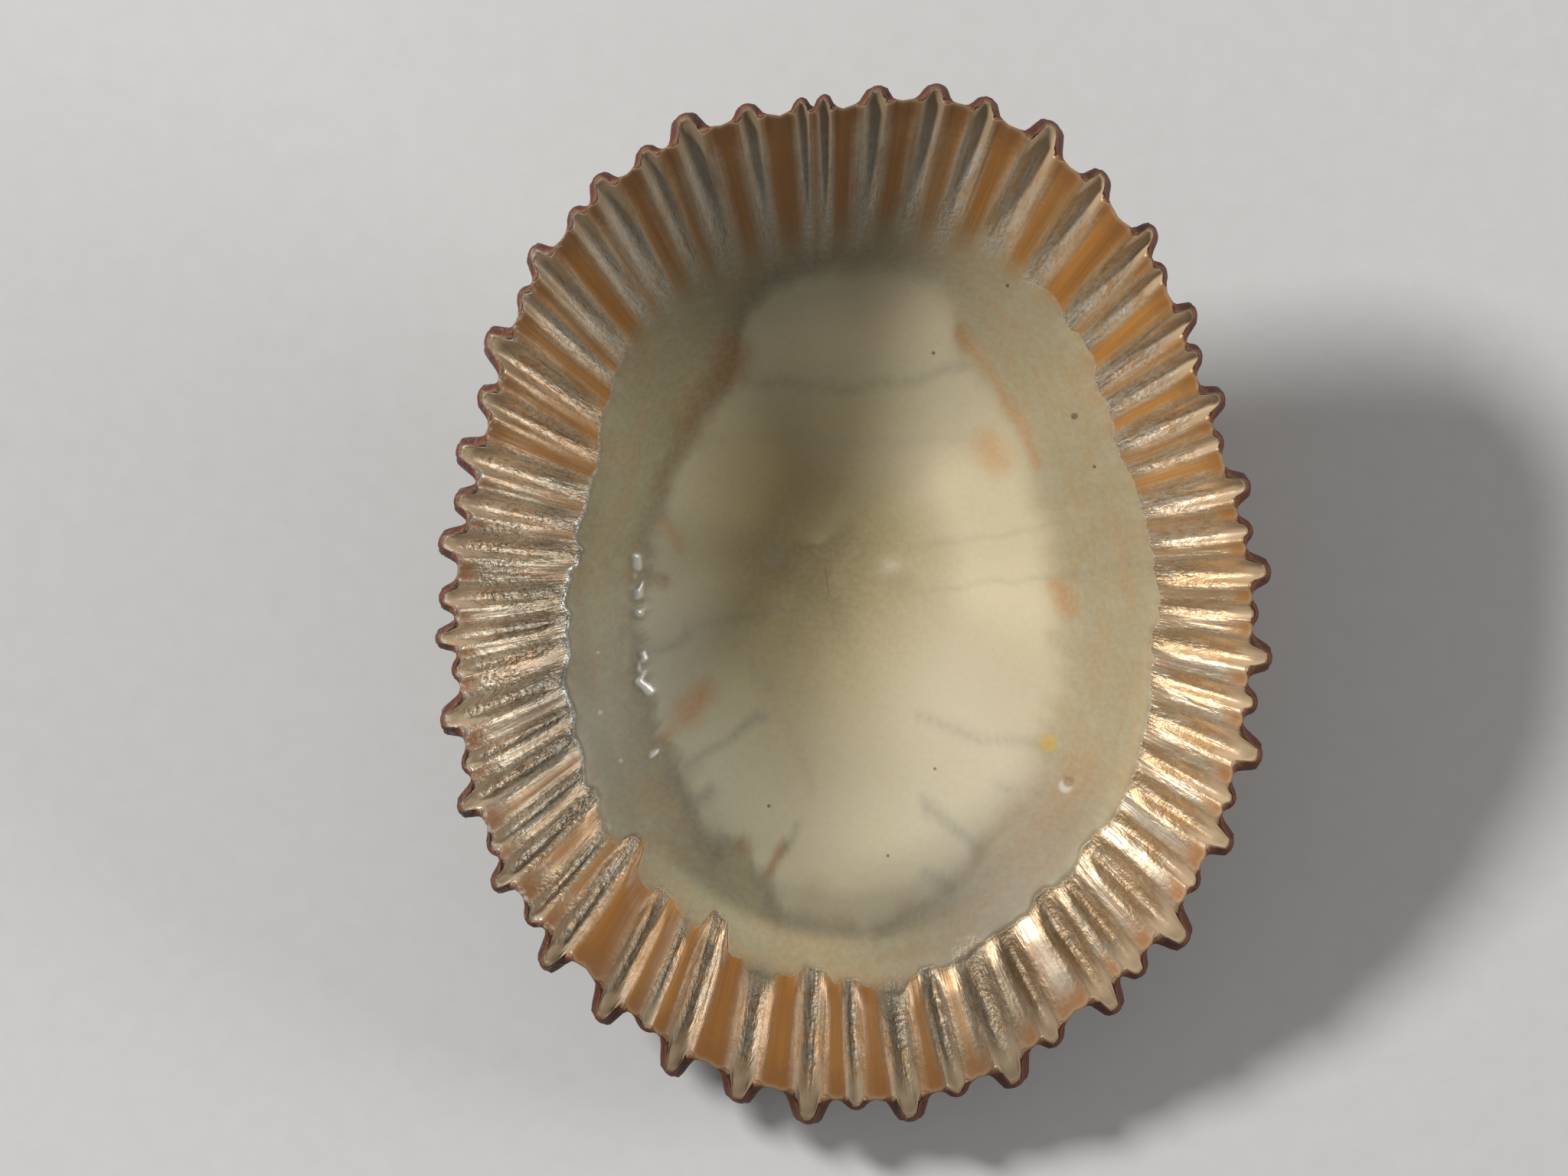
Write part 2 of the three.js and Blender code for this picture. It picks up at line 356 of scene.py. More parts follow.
def between_ribs(bearing):
    """How far each bearing is from one rib to the next, from 0 to 1, and the gap's width at the margin."""
    bearings = np.array([rib for rib, _ in RIBS])
    after = np.searchsorted(bearings, bearing % 360) % len(bearings)
    start = bearings[after - 1]
    gap = (bearings[after] - start) % 360
    return (bearing - start) % 360 / gap, np.radians(gap) * margin_radius(bearing)


def rib_form(off, crest):
    """A blunt crest: 1 over the middle of a rib, 0 at its feet."""
    off = np.abs(off)
    return (1 - smoothstep(crest, RIB_FOOT, off)) * (1 - RIB_CROWN * np.minimum(off, 1) ** 2)


def scalloped(off):
    """The margin draws back between ribs."""
    return SCALLOP * (0.4 - smoothstep(0.9, 2.2, np.abs(off)))


ROUND_SPAN = math.hypot(1, APEX_ROUNDING) - APEX_ROUNDING


def climb(share):
    """A cone with a rounded apex: 0 at the apex and 1 at the margin."""
    return (np.hypot(share, APEX_ROUNDING) - APEX_ROUNDING) / ROUND_SPAN


def share_of_climb(rise):
    return np.sqrt((APEX_ROUNDING + rise * ROUND_SPAN) ** 2 - APEX_ROUNDING**2)


def upright(thickness, bearing):
    """A thickness square to the wall, measured upwards instead."""
    return thickness * np.hypot(1, margin_height(bearing) / margin_radius(bearing))


def side_height(bearing):
    return margin_height(bearing) - upright(WALL_AT_MARGIN, bearing) + APEX_WEAR


def outside_height(bearing, share):
    return side_height(bearing) * climb(share) - APEX_WEAR


def place(bearing, share, outwards):
    """X and Y of a point that lies a share of the way to the margin and some way past that."""
    turn = np.radians(bearing)
    radius = share * margin_radius(bearing) + outwards
    shift = (1 - share) ** 2
    return radius * np.cos(turn) + APEX_SHIFT[0] * shift, radius * np.sin(turn) + APEX_SHIFT[1] * shift


def bearing_of(x, y):
    return np.degrees(np.arctan2(y, x)) % 360


def scar_radius(bearing):
    bearings, radii = np.array(SCAR_EDGE).T
    fine = wander(ring(bearing, 12), 0.9, 3)
    return np.interp(bearing, bearings, radii, period=360) + 0.14 * fine


def whim(number):
    """Each rib's own unevenness, between -1 and 1."""
    return np.sin(number * 2.4)


def callus_radius(bearing):
    """The callus's outer edge is ragged, and draws back where it meets the flutes."""
    number, reach, off = nearest_rib(bearing)
    own = 0.3 + 0.9 * whim(number)
    arch = (0.25 + 0.75 * near(bearing, *ARCHED_EDGE)) * reach * np.clip(own, -0.5, 1)
    arch *= 1 - smoothstep(0.5, 1.35, np.abs(off))
    ragged = 0.22 * wander(ring(bearing, 16), 1.6, 5) + 0.12 * wander(ring(bearing, 16), 0.5, 6)
    return around(CALLUS_SHARES, bearing) * margin_radius(bearing) + ragged - arch


def callus_sharpness(bearing):
    """The callus's edge is blurred at the head end, and where it flows over ribs at the tail end."""
    number, _, off = nearest_rib(bearing)
    flows = whim(number) < -0.3
    over = 0.75 * flows * near(bearing, *OVERFLOWING_EDGE) * (1 - smoothstep(0.5, 1.3, np.abs(off)))
    return 1 - np.maximum(BLUR * near(bearing, *BLURRED_EDGE), over)


def on_beads(x, y):
    """1 along the middle of a bead, fading to 0 beside it."""
    nearest = np.min([from_path(x, y, bead) for bead in BEADS], axis=0)
    uneven = wander(np.stack([x, y, 0 * x], 1), 0.45, 13)
    return np.exp(-((nearest / BEAD_WIDTH) ** 2)) * smoothstep(-0.55, 0.15, uneven)


def polish(x, y):
    """1 in the middle of a polished place, fading to 0 beside it."""
    spots = [np.hypot(x - spot[0], y - spot[1]) / width for width, spot in POLISHED]
    return np.exp(-(np.min(spots, axis=0) ** 2))


def painted_shade(bearing, share):
    """Painted shade and light: how much of its colour's brightness each place keeps."""
    kept = np.ones_like(bearing)
    for darker, middle, reach, middle_share, reach_share in PAINTED_SHADE_AND_LIGHT:
        window = 1 - smoothstep(0.4 * reach_share, reach_share, np.abs(share - middle_share))
        kept *= 1 - darker * near(bearing, middle, reach) * window
    return kept


def apex_painted_shade(bearing, share):
    """Painted shade about the apex, least towards the head end."""
    return 0.85 * (1 - smoothstep(0.04, 0.36, share)) * (1 - 0.7 * near(bearing, *HEAD_SIDE))


def olive_tint(share):
    """The lining is more olive about the apex."""
    return 0.8 * (1 - smoothstep(0.12, 0.5, share))


def nacre(bearing, share):
    """How strongly the pearl spreads past the flutes, and how crumpled it is."""
    spreads = sum(amount * near(bearing, middle, reach) for amount, middle, reach in PEARL_SPREADS)
    spreads -= 0.5 * near(bearing, *NARROWED_PEARL) * (1 - smoothstep(0.74, 0.9, share))
    patches = wander(np.stack([*ring(bearing, 18).T[:2], 18 * share], 1), 2.6, 31)
    crumpled = smoothstep(-0.35, 0.25, patches) * near(bearing, *CRUMPLED_PEARL)
    return spreads, crumpled * lerp(0.4, 1, smoothstep(0.76, 0.9, share))


def lustre(bearing):
    """How silvery the band is between ribs, how near the head end it is, and how dark its ribs are."""
    silvery = np.maximum(near(bearing, *SILVERY_RIGHT), 0.95 * near(bearing, *SILVERY_LEFT))
    return silvery, near(bearing, *HEAD_END), 0.45 * near(bearing, *DARK_RIBS)


def warmth_and_painted_light(points):
    """The lining is warmer towards +X. Its paler +X side and its darker, bluer -X side are painted light,
    painted shade and painted bounce light.
    """
    return smoothstep(-8, 10, points[:, 0] + 5 * wander(points, 5, 32))


def stained(x, y, marks):
    """How strongly some marks colour each place. The marks waver a little."""
    plan = np.stack([x, y, 0 * x], 1)
    x = x + 0.3 * wander(plan, 1.3, 21) + 0.1 * wander(plan, 0.4, 22)
    y = y + 0.3 * wander(plan, 1.3, 23) + 0.1 * wander(plan, 0.4, 24)
    amount = np.zeros(len(x))
    for strength, width, soft, points in marks:
        away = from_path(x, y, points)
        fade = 1 - smoothstep(width / 2 - soft, width / 2 + soft, away)
        amount = np.maximum(amount, strength * fade)
    return amount


def share_at(bearing, edge_radius):
    """The share of the way to the margin at which each column of the skin crosses an edge."""
    share = edge_radius(bearing) / margin_radius(bearing)
    for _ in range(4):
        x, y = place(bearing, share, 0)
        share = share * edge_radius(bearing_of(x, y)) / np.hypot(x, y)
    return share


def crowd_ribs(turn):
    """Moves columns towards the ribs, where the shape needs more of them."""
    bearings = np.arange(0, 360.01, 0.05)
    _, _, off = nearest_rib(bearings)
    crowd = 1 + 1.2 * (1 - smoothstep(1, 1.5, np.abs(off)))
    passed = np.append(0, np.cumsum((crowd[1:] + crowd[:-1]) / 2))
    return np.interp(turn, 360 * passed / passed[-1], bearings)


def crowd_ends(fraction, share):
    """Moves rows towards both ends of their zone."""
    return lerp(fraction, fraction * fraction * (3 - 2 * fraction), share)


def skin_of_rows():
    """A closed skin of rows and columns. A point's height says which zone it is in and how far along."""
    skin = bmesh.new()
    last = len(ROWS)
    knots = [skin.verts.new((0 if k in (0, last) else 1, 0, k)) for k in range(last + 1)]
    edges = [skin.edges.new(pair) for pair in zip(knots, knots[1:])]
    for edge, rows in zip(edges, ROWS.values()):
        bmesh.ops.subdivide_edges(skin, edges=[edge], cuts=rows - 1)
    bmesh.ops.spin(
        skin,
        geom=skin.verts[:] + skin.edges[:],
        cent=(0, 0, 0),
        axis=(0, 0, 1),
        angle=math.tau,
        steps=SECTORS,
        use_merge=True,
    )
    bmesh.ops.remove_doubles(skin, verts=skin.verts, dist=MERGE)
    rings = [edge for edge in skin.edges if abs(edge.verts[0].co.z - edge.verts[1].co.z) < MERGE]
    bmesh.ops.subdivide_edges(skin, edges=rings, cuts=COLUMNS // SECTORS - 1, use_grid_fill=True)
    bmesh.ops.recalc_face_normals(skin, faces=skin.faces)
    mesh = bpy.data.meshes.new("limpet_shell")
    skin.to_mesh(mesh)
    skin.free()
    return mesh


def outer_point(bearing, fraction):
    """The ribbed outside, with a ledge at each halt in growth."""
    _, reach, off = nearest_rib(bearing)
    share = lerp(share_of_climb(APEX_WEAR / side_height(bearing)), 1, fraction)
    swell = reach * rib_form(off, RIB_CREST) * share * smoothstep(0, 1, fraction)
    circle = ring(bearing, PATTERN_RADIUS)
    cone = (circle + np.array([0, 0, PATTERN_RADIUS])) * share[:, None]
    inland = smoothstep(0.1, 0.35, fraction) * (1 - smoothstep(0.92, 1, fraction))
    swell *= 1 + KNOBS * inland * wander(cone, 1.1, 41)
    growth = share * LEDGES + 0.4 * wander(circle, 9, 8) + 0.3 * wander(circle, 2, 9)
    ledge = (growth % 1) ** 2 * inland
    scallop = scalloped(off) * smoothstep(0.8, 1, share)
    x, y = place(bearing, share, swell * (1 + 0.2 * ledge) + LEDGE_OUT * ledge + scallop)
    z = outside_height(bearing, share) - RIB_DROP * swell * (1 + 0.25 * ledge) - LEDGE_DROP * ledge
    return np.stack([x, y, np.maximum(z, 0)], 1)


def wall_height(bearing, share):
    """Thickness of the wall, measured upwards, without its relief."""
    callus_share = around(CALLUS_SHARES, bearing)
    wall = np.where(
        share > callus_share,
        lerp(WALL_AT_CALLUS, WALL_AT_MARGIN, (share - callus_share) / (1 - callus_share)),
        lerp(WALL_AT_APEX, WALL_AT_CALLUS, share / callus_share),
    )
    return lerp(wall, upright(wall, bearing), climb(share))


def band_relief(bearing, share, tongue, past_callus):
    """Flutes and ridges, lower at the head end."""
    _, reach, off = nearest_rib(bearing)
    flatter = near(bearing, *HEAD_END)
    deep = smoothstep(-0.3, 1.2, past_callus)
    trough = 1 - smoothstep(0.3, 1.05, np.abs(off))
    keel = KEEL * smoothstep(0.4, 0.8, reach) * np.exp(-((off / KEEL_WIDTH) ** 2))
    groove = (GROOVE_DEPTH[0] + GROOVE_DEPTH[1] * reach) * (1 - 0.9 * flatter)
    along, gap = between_ribs(bearing)
    ridge = RIDGE * np.minimum(gap, WIDEST_RIDGE) * np.sin(math.pi * along) * (1 - 0.6 * flatter)
    lift = HEAD_LIFT * tongue * smoothstep(around(CALLUS_SHARES, bearing), 1, share) * flatter
    droop = TIP_DROOP * tongue * smoothstep(0.97, 1, share)
    relief = ridge * (1 - 0.5 * smoothstep(0.9, 1, share)) - groove * (trough - keel)
    return lift + relief * deep - droop


def lining_relief(seen, past_callus, past_scar):
    """The steps at the callus's edge, which rolls up at the left, and at the scar's."""
    step = CALLUS_STEP * (1 - BLUR * near(seen, *BLURRED_EDGE))
    rolled = np.exp(-(((past_callus + 0.14) / 0.1) ** 2)) * near(seen, *ROLLED_EDGE)
    callus = step * (1 - smoothstep(-0.12, 0.06, past_callus)) + CALLUS_ROLL * rolled
    return callus + SCAR_STEP * (1 - smoothstep(-0.6, 0.25, past_scar))


def inner_point(bearing, share):
    """The inside: fluted band, callus and cream scar."""
    _, reach, off = nearest_rib(bearing)
    tongue = np.maximum(reach * rib_form(off / TONGUE_WIDTH, TONGUE_CREST), 0)
    lip = LIP * (1 - smoothstep(0.8, 1.3, np.abs(off)))
    outwards = (tongue - lip + scalloped(off)) * smoothstep(around(CALLUS_SHARES, bearing), 1, share)
    x, y = place(bearing, share, outwards)
    seen = bearing_of(x, y)
    radius = np.hypot(x, y)
    past_callus = radius - callus_radius(seen)
    past_scar = radius - scar_radius(seen)
    bead = on_beads(x, y)
    z = outside_height(bearing, share) + wall_height(bearing, share)
    z += band_relief(bearing, share, tongue, past_callus) + lining_relief(seen, past_callus, past_scar)
    z += BEAD_HEIGHT * bead + POLISH_HEIGHT * polish(x, y)
    uneven = wander(np.stack([x, y, z], 1), 4.5, 11)
    z += UNEVENNESS * uneven * (1 - smoothstep(0.85, 1, share))
    return np.stack([x, y, z], 1), past_callus, past_scar, callus_sharpness(seen), bead


def lip_point(bearing, fraction):
    """The rounded edge from the outside's last row up to the inside's first."""
    lower = outer_point(bearing, np.ones_like(fraction))
    upper, *_ = inner_point(bearing, np.ones_like(fraction))
    _, _, off = nearest_rib(bearing)
    bulge = LIP_BULGE * (1 - smoothstep(0.6, 1.3, np.abs(off)))
    rounded = ring(bearing, 1) * (bulge * np.sin(math.pi * fraction))[:, None]
    return lerp(lower, upper, fraction[:, None]) + rounded


def inside_shares(bearing, fraction, names):
    """The share of each point inside. Rows crowd towards the edges of the callus and the scar."""
    bearings = np.arange(0, 360, 0.1)
    callus = np.interp(bearing, bearings, share_at(bearings, callus_radius), period=360)
    scar = np.interp(bearing, bearings, share_at(bearings, scar_radius), period=360)
    zones = {
        "band": lerp(1, callus, crowd_ends(fraction, 0.55)),
        "callus": lerp(callus, scar, crowd_ends(fraction, 0.7)),
        "hollow": scar * (1 - fraction**1.3) ** 1.2,
    }
    return np.select([names == zone for zone in zones], list(zones.values()), 1.0)


def shape_shell(mesh):
    """Puts each point of the skin in its place on the shell and notes what it is made of there."""
    count = len(mesh.vertices)
    at = np.empty(count * 3)
    mesh.vertices.foreach_get("co", at)
    x, y, level = at.reshape(-1, 3).T
    bearing = crowd_ribs(bearing_of(x, y))
    zone = np.minimum(level.astype(int), len(ROWS) - 1)
    fraction = np.clip(level - zone, 0, 1)
    names = np.array(list(ROWS))[zone]

    points = np.zeros((count, 3))
    share = inside_shares(bearing, fraction, names)
    inside, bead = np.zeros((2, count))
    past_callus, past_scar, sharp = np.ones((3, count))

    part = names == "flat"
    share[part] = share_of_climb(APEX_WEAR / side_height(bearing[part])) * fraction[part]
    points[part, :2] = np.stack(place(bearing[part], share[part], 0), 1)

    part = names == "side"
    points[part] = outer_point(bearing[part], fraction[part])
    share[part] = fraction[part]

    part = names == "lip"
    points[part] = lip_point(bearing[part], fraction[part])
    inside[part] = smoothstep(0.8, 1, fraction[part])

    part = np.isin(names, ["band", "callus", "hollow"])
    points[part], past_callus[part], past_scar[part], sharp[part], bead[part] = inner_point(
        bearing[part], share[part]
    )
    inside[part] = 1

    mesh.vertices.foreach_set("co", (points * MM).ravel())
    _, _, off = nearest_rib(bearing)
    x, y, _ = points.T
    spread = ring(bearing, PATTERN_RADIUS)
    note(mesh, "spread", spread[:, 0], spread[:, 1], PATTERN_RADIUS * share)
    note(mesh, "edges", np.clip(past_callus, -9, 9), np.clip(past_scar, -9, 9), sharp)
    note(mesh, "form", share, np.minimum(np.abs(off), 4), inside)
    # The middle value is painted shade and light.
    note(mesh, "ribs", bead, painted_shade(bearing, share), (names == "lip") * (1 - 0.75 * fraction))
    note(mesh, "nacre", *nacre(bearing, share), warmth_and_painted_light(points))
    note(mesh, "lustre", *lustre(bearing))
    # Painted shade about the apex, polish, and the olive colour about the apex.
    shade_polish_and_olive = (apex_painted_shade(bearing, share), polish(x, y), olive_tint(share))
    note(mesh, "apex", *(inside * apex_amount for apex_amount in shade_polish_and_olive))
    note(mesh, "stains", *(inside * stained(x, y, marks) for marks in STAINS.values()))
    mesh.shade_smooth()
    mesh.update()


def note(mesh, name, *values):
    attribute = mesh.attributes.new(name, "FLOAT_VECTOR", "POINT")
    attribute.data.foreach_set("vector", np.stack(values, 1).astype(np.float32).ravel())


class Finish:
    """Short ways to wire a material's nodes."""

    def __init__(self, name):
        self.material = bpy.data.materials.new(name)
        self.material.use_nodes = True
        self.tree = self.material.node_tree
        self.shader = self.tree.nodes["Principled BSDF"]

    def node(self, kind, inputs=(), **settings):
        made = self.tree.nodes.new("ShaderNode" + kind)
        for key, value in settings.items():
            setattr(made, key, value)
        for key, value in dict(inputs).items():
            self.wire(made.inputs[key], value)
        return made

    def wire(self, socket, value):
        if isinstance(value, bpy.types.NodeSocket):
            self.tree.links.new(value, socket)
        elif isinstance(value, tuple) and len(value) == 3 and socket.type == "RGBA":
            socket.default_value = (*value, 1)
        else:
            socket.default_value = value

    def give(self, **values):
        """Sets the shader's inputs, named with low lines for spaces."""
        for name, value in values.items():
            self.wire(self.shader.inputs[name.replace("_", " ")], value)

    def noted(self, name):
        return self.split(self.node("Attribute", attribute_name=name).outputs["Vector"])

    def split(self, vector):
        return self.node("SeparateXYZ", {0: vector}).outputs

    def maths(self, operation, *values):
        return self.node("Math", enumerate(values), operation=operation).outputs[0]

    def times(self, a, b):
        return self.maths("MULTIPLY", a, b)

    def minus(self, a, b):
        return self.maths("SUBTRACT", a, b)

    def plus(self, base, a, b):
        """The base and a times b."""
        return self.maths("MULTIPLY_ADD", a, b, base)

    def most(self, a, b):
        return self.maths("MAXIMUM", a, b)

    def size(self, a):
        return self.maths("ABSOLUTE", a)

    def stretch(self, vector, by):
        return self.node("VectorMath", {0: vector, 1: by}, operation="MULTIPLY").outputs[0]

    def fade(self, value, low, high, start=0.0, end=1.0):
        inputs = {"Value": value, "From Min": low, "From Max": high, "To Min": start, "To Max": end}
        return self.node("MapRange", inputs, interpolation_type="SMOOTHSTEP").outputs[0]

    def cloud(self, vector, scale, detail=3.0, rough=0.55):
        inputs = {"Vector": vector, "Scale": scale, "Detail": detail, "Roughness": rough}
        return self.node("TexNoise", inputs).outputs[0]

    def blend(self, share, a, b):
        return self.node("Mix", {0: share, 6: a, 7: b}, data_type="RGBA").outputs[2]

    def mix(self, share, a, b):
        return self.node("Mix", {0: share, 2: a, 3: b}).outputs[0]


class ShellFinish(Finish):
    """The shell's colours, gleam and fine relief, from the notes on its skin."""

    def __init__(self):
        super().__init__("shell")
        self.past_callus, self.past_scar, self.sharp = self.noted("edges")
        self.share, self.off, self.inside = self.noted("form")
        self.bead, self.shade, self.lip = self.noted("ribs")
        self.spreads, self.foil, self.warm_and_lit = self.noted("nacre")
        self.dull, self.polished, self.olive = self.noted("apex")
        self.silvery, self.head, self.dark = self.noted("lustre")
        self.solid = self.stretch(self.node("TexCoord").outputs["Object"], (1 / MM, 1 / MM, 1 / MM))
        self.plan = self.stretch(self.solid, (1, 1, 0))
        self.x, self.y, _ = self.split(self.plan)

        self.spread = self.node("Attribute", attribute_name="spread").outputs["Vector"]
        self.fibres = self.along_ribs(0.05, 1.6)
        self.fine_fibres = self.along_ribs(0.07, 6.0)
        self.sparkle = self.along_ribs(0.75, 7.0, 3, 0.7)
        self.crinkle = self.along_ribs(1.4, 2.6, 2, 0.5)
        self.fine_rings = self.cloud(self.stretch(self.spread, (0.25, 0.25, 1.0)), 3.5)
        self.waves = self.minus(self.cloud(self.solid, 0.8), 0.5)
        self.grain = self.cloud(self.solid, 4.0, 4, 0.6)
        self.swirl = self.minus(self.grain, 0.5)

        self.lay_pearl()
        self.edge_callus()
        colour = self.blend(self.inside, self.outside(), self.hollow())
        self.give(Base_Color=colour)
        self.gleam()
        self.emboss()

    def along_ribs(self, squeeze, *texture):
        """A cloud drawn out along the ribs, or across them if the squeeze is over 1."""
        return self.cloud(self.stretch(self.spread, (1, 1, squeeze)), *texture)

    def lay_pearl(self):
        """Where the band is pearl, where it shines, and the brown hem and the teeth at its margin."""
        ragged = self.plus(self.off, self.minus(self.fibres, 0.5), 1.2)
        ragged = self.plus(ragged, self.swirl, 0.35)
        pearl = self.fade(self.plus(ragged, self.spreads, -0.4), 1.5, 0.2)
        pearl = self.most(pearl, self.times(self.foil, 0.85))
        thinner = self.fade(self.plus(self.share, self.swirl, 0.12), 1.04, 0.88, 0.55, 1.0)
        pearl = self.times(pearl, thinner)
        self.gloss = self.most(pearl, self.fade(self.plus(ragged, self.spreads, -1.5), 1.6, 0.4))
        flakes = self.fade(self.along_ribs(0.4, 2.2), 0.3, 0.55, 0.45, 1.0)
        leaf = self.fade(self.crinkle, 0.34, 0.5)
        self.pearl = self.times(pearl, self.mix(self.times(self.foil, 0.6), flakes, leaf))
        self.tongue = self.times(self.fade(self.share, 0.92, 0.985), self.fade(self.off, 0.8, 0.45))
        hem = self.fade(self.plus(self.share, self.swirl, 0.05), 0.925, 0.985)
        self.hem = self.times(hem, self.fade(self.off, 0.5, 1.2, 0.0, 0.9))

    def edge_callus(self):
        """Where the callus is; the pale line along its edge, wider and whiter towards -X as a painted
        glint; and the white of each bead, partly its own colour and partly a painted glint, with painted
        glints along the margin towards -X, all of it glossy.
        """
        blur = self.mix(self.sharp, 1.8, 0.05)
        ragged = self.plus(self.past_callus, self.swirl, self.mix(self.sharp, 2.5, 0.25))
        self.callus = self.fade(ragged, blur, self.times(blur, -1.0))
        left = self.fade(self.x, -9.5, -11.5)
        from_edge = self.size(self.past_callus)
        # Towards -X the pale line is wider and whiter, a painted glint.
        line = self.fade(from_edge, self.mix(left, 0.08, 0.15), self.mix(left, 0.02, 0.04))
        broken = self.fade(self.grain, 0.42, 0.56, self.times(left, 0.25), self.mix(left, 0.25, 1.0))
        self.callus_line_and_glint = self.times(self.times(line, self.sharp), broken)
        # Painted glints along the margin towards -X.
        margin_glints = self.times(self.fade(self.share, 0.98, 0.995), self.fade(self.grain, 0.5, 0.6, 0.0, 0.6))
        margin_glints = self.times(margin_glints, self.fade(self.x, -10.0, -13.0))
        # Each bead is white, partly its own colour and partly a painted glint; the callus's edge towards -X
        # has a painted glint.
        bead_and_line_glints = self.most(self.times(self.callus_line_and_glint, left), self.fade(self.bead, 0.1, 0.8))
        self.enamel_and_glints = self.most(bead_and_line_glints, margin_glints)

    def band(self):
        """Amber between ribs and pearl along them, with a mottled, fibrous colour."""
        amber = self.blend(self.fade(self.fibres, 0.3, 0.7), AMBER_DARK, AMBER)
        sheen = self.blend(self.fade(self.along_ribs(0.3, 1.1), 0.42, 0.7), SILVER, ROSE)
        mottle = self.fade(self.cloud(self.solid, 2.6, 4, 0.65), 0.45, 0.65, 0.0, 0.5)
        pearl = self.blend(mottle, sheen, HONEY)
        pearl = self.blend(self.fade(self.fine_fibres, 0.55, 0.3, 0.0, 0.5), pearl, GUNMETAL)
        dark_grains = self.fade(self.sparkle, 0.5, 0.34, 0.0, self.mix(self.warm_and_lit, 0.6, 0.3))
        pearl = self.blend(dark_grains, pearl, GUNMETAL)
        pearl = self.blend(self.fade(self.sparkle, 0.5, 0.66, 0.0, 0.8), pearl, PEARL_AND_GLINT_WHITE)
        glossy = self.blend(self.silvery, HONEY, self.blend(0.6, pearl, sheen))
        between = self.blend(self.gloss, amber, glossy)
        on_rib = self.blend(self.fade(self.spreads, 0.4, 1.0, 0.0, 0.7), pearl, BRONZE)
        on_rib = self.blend(self.dark, on_rib, GUNMETAL)
        on_rib = self.blend(self.times(self.head, 0.6), on_rib, SILVER)
        band = self.blend(self.pearl, between, on_rib)
        band = self.blend(self.hem, band, BROWN_EDGE)
        edge = self.times(self.fade(self.share, 0.988, 0.998), self.fade(self.off, 0.8, 1.1, 0.0, 0.6))
        return self.blend(self.most(self.tongue, edge), band, TONGUE)

    def cream(self):
        """The scar's colour: cooler and darker towards -X as painted shade and bluish bounce light, olive
        about the apex, and darker there as painted shade.
        """
        cream = self.blend(self.warm_and_lit, CREAM_COOL_SHADED, CREAM)
        cream = self.blend(self.times(self.olive, self.fade(self.warm_and_lit, 1.0, 0.3)), cream, CREAM_OLIVE)
        # Painted shade about the apex.
        return self.blend(self.dull, cream, APEX_SHADE)

    def lining(self):
        """Callus and scar, whose edge frays most at the tail end, with painted shade along that edge and
        their stains and specks, among them a patch of painted shade and three painted glints.
        """
        # Cooler and darker towards -X as painted shade and bluish bounce light.
        lining = self.blend(self.warm_and_lit, CALLUS_COOL_SHADED, CALLUS)
        growth_lines = self.cloud(self.stretch(self.spread, (0.12, 0.12, 1.0)), 1.8)
        lining = self.blend(self.fade(growth_lines, 0.35, 0.7, 0.0, 0.25), lining, AMBER)
        lining = self.blend(self.fade(self.waves, 0.0, 0.25, 0.0, 0.3), lining, CREAM_COOL_SHADED)
        fans = self.minus(self.along_ribs(0.12, 0.6, 2), 0.5)
        fray = self.mix(self.sharp, 0.6, self.mix(self.warm_and_lit, 2.2, 1.3))
        fray = self.times(fray, self.fade(self.y, 4.0, -3.0, 0.25, 1.0))
        frayed = self.plus(self.past_scar, fans, fray)
        frayed = self.plus(frayed, self.waves, self.fade(self.y, 4.0, -3.0, 0.7, 1.2))
        scar = self.fade(frayed, self.mix(self.warm_and_lit, 0.6, 0.9), self.mix(self.warm_and_lit, -0.8, -1.6))
        lining = self.blend(scar, lining, self.cream())
        # Painted shade along the scar's edge, most towards -X, and in a band beyond it where the callus's
        # edge is blurred, most at the head end.
        scar_edge_shade = self.fade(self.size(frayed), 0.8, 0.0, 0.0, 0.5)
        lining = self.blend(self.times(scar_edge_shade, self.fade(self.warm_and_lit, 1.2, 0.0)), lining, PAINTED_EDGE_SHADE)
        collar_shade = self.fade(self.size(self.minus(frayed, 0.4)), 1.2, 0.0)
        at_head = self.fade(self.sharp, 0.7, 0.2, 0.0, self.mix(self.warm_and_lit, 0.42, 0.12))
        lining = self.blend(self.times(collar_shade, at_head), lining, PAINTED_EDGE_SHADE)
        for stain, amount in zip(STAINS, self.noted("stains")):
            lining = self.blend(amount, lining, stain)
        for speck, width, spot in SPECKS:
            away = self.node("VectorMath", {0: self.plan, 1: (*spot, 0)}, operation="DISTANCE").outputs[1]
            lining = self.blend(self.fade(away, 0.65 * width, 0.3 * width, 0.0, 0.8), lining, speck)
        return self.blend(self.fade(self.grain, 0.3, 0.7, 0.0, 0.12), lining, PEARL_AND_GLINT_WHITE)

    def hollow(self):
        """The whole inside. The callus is thin enough at its edge for the band to show through."""
        cover = self.times(self.callus, self.fade(self.past_callus, 0.0, -1.2, 0.85, 1.0))
        colour = self.blend(cover, self.band(), self.lining())
        # The pale line along the callus's edge, with its painted glint towards -X.
        colour = self.blend(self.callus_line_and_glint, colour, PEARL_AND_GLINT_WHITE)
        # The colour is scaled by painted shade and light, then the white of each bead and painted glints go
        # over it.
        return self.blend(self.times(self.enamel_and_glints, 0.75), self.stretch(colour, self.shade), ENAMEL_AND_GLINT)

